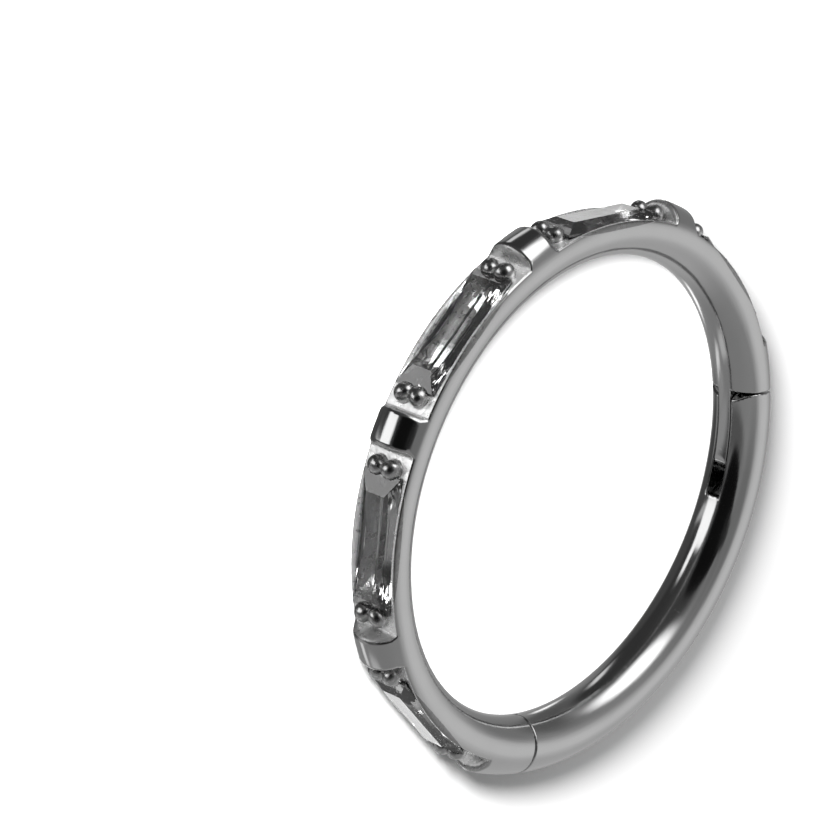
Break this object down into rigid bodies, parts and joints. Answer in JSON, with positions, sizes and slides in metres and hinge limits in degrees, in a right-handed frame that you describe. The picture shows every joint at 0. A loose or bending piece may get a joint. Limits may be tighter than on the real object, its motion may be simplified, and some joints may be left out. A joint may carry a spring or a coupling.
{
  "type": "segment clicker ring",
  "caption": "Round-bar hoop with a hinged segment that snaps shut on a nose and socket, and clear step-cut baguettes held by bead prongs round its outer edge",
  "frame": {"origin": "centre of the ring, on the surface that it lies on", "axes": "+Z is the ring's axis, pointing up from the surface; +Y points to the middle of the hinged segment, +X to the clasp side"},
  "size_m": [0.0114, 0.0117, 0.0012],
  "materials": {
    "steel": "polished surgical steel",
    "pin_steel": "polished, dressed flush with the ear",
    "clear_stone": "polished colourless cubic zirconia, step cut"
  },
  "bodies": {
    "frame": {"frame": "steel", "stone_1": "clear_stone", "stone_2": "clear_stone", "stone_3": "clear_stone", "stone_4": "clear_stone", "stone_5": "clear_stone"},
    "segment": {"segment": "steel", "hinge_pin": "pin_steel"}
  },
  "joints": [
    {"name": "segment_hinge", "type": "hinge", "parent": "frame", "child": "segment", "pos_m": [-0.00363, 0.004, 0.0006], "axis": [0, 0, 1], "range_deg": [0, 45]}
  ]
}
